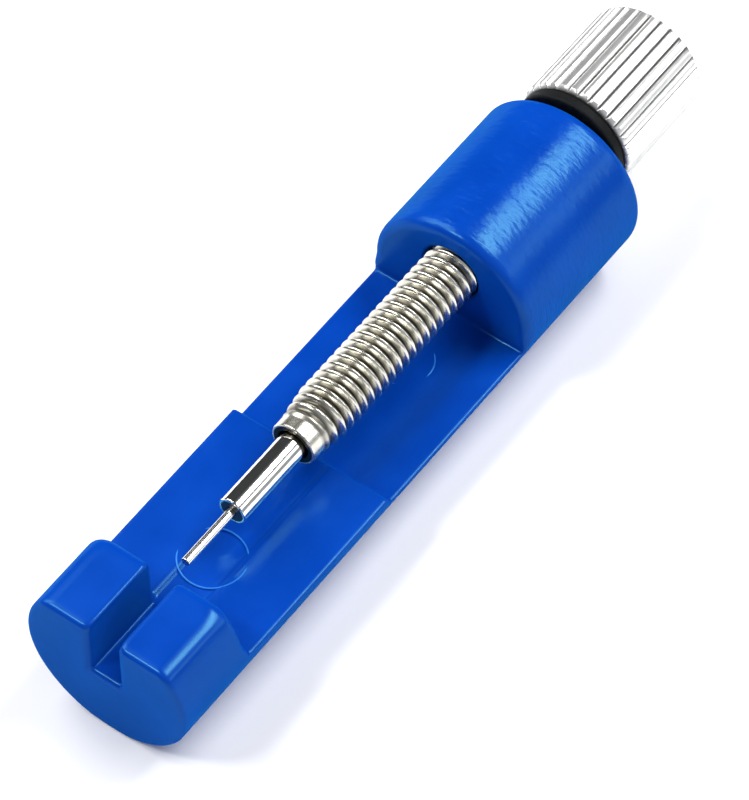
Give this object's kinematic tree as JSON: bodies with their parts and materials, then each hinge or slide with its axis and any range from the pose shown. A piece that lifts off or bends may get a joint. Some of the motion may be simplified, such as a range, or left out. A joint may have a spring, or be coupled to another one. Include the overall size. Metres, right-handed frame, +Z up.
{
  "type": "watch bracelet pin pusher",
  "caption": "Hand tool that pushes the pins out of watch bracelet links: a moulded body with a fork, and a fluted knob that screws a thin pin forward.",
  "frame": {"origin": "under the middle of the whole tool at rest, on the surface that the flat base stands on", "axes": "+X along the spindle from the knob to the fork, +Y to the left seen from the knob, +Z up out of the bed"},
  "size_m": [0.079, 0.0166, 0.017],
  "materials": {
    "blue_plastic": "glossy moulded blue with faint flow marks",
    "brass": "turned",
    "black_nylon": "matt black",
    "nickel_plate": "bright warm nickel plate over a rolled thread",
    "chrome_plate": "bright chrome plate with straight flutes",
    "black_steel": "black oxide",
    "polished_steel": "polished",
    "hardened_steel": "ground and polished"
  },
  "bodies": {
    "frame_body": {"frame": "blue_plastic", "threaded_insert": "brass"},
    "washer_body": {"thrust_washer": "black_nylon"},
    "spindle_body": {"spindle": "nickel_plate", "knob": "chrome_plate", "knob_grub_screw": "black_steel"},
    "tip_pin_body": {"tip_pin": "hardened_steel"},
    "tip_holder_body": {"tip_holder": "polished_steel"}
  },
  "joints": [
    {"name": "spindle_feed", "type": "slide", "parent": "frame_body", "child": "washer_body", "axis": [1, 0, 0], "range_m": [-0.02, 0.00008]},
    {"name": "knob_turn", "type": "hinge", "parent": "washer_body", "child": "spindle_body", "pos_m": [-0.02641, 0, 0.01115], "axis": [1, 0, 0], "range_deg": [-7201, 29]},
    {"name": "tip_draw", "type": "slide", "parent": "spindle_body", "child": "tip_pin_body", "axis": [1, 0, 0], "range_m": [0, 0.0056]},
    {"name": "tip_turn", "type": "hinge", "parent": "tip_pin_body", "child": "tip_holder_body", "pos_m": [0.01389, 0, 0.01115], "axis": [1, 0, 0], "range_deg": [0, 2521]}
  ],
  "couplings": [
    {"joint": "knob_turn", "follows": "spindle_feed", "rad_per_m": 6283.2},
    {"joint": "tip_turn", "follows": "tip_draw", "rad_per_m": 7854}
  ]
}
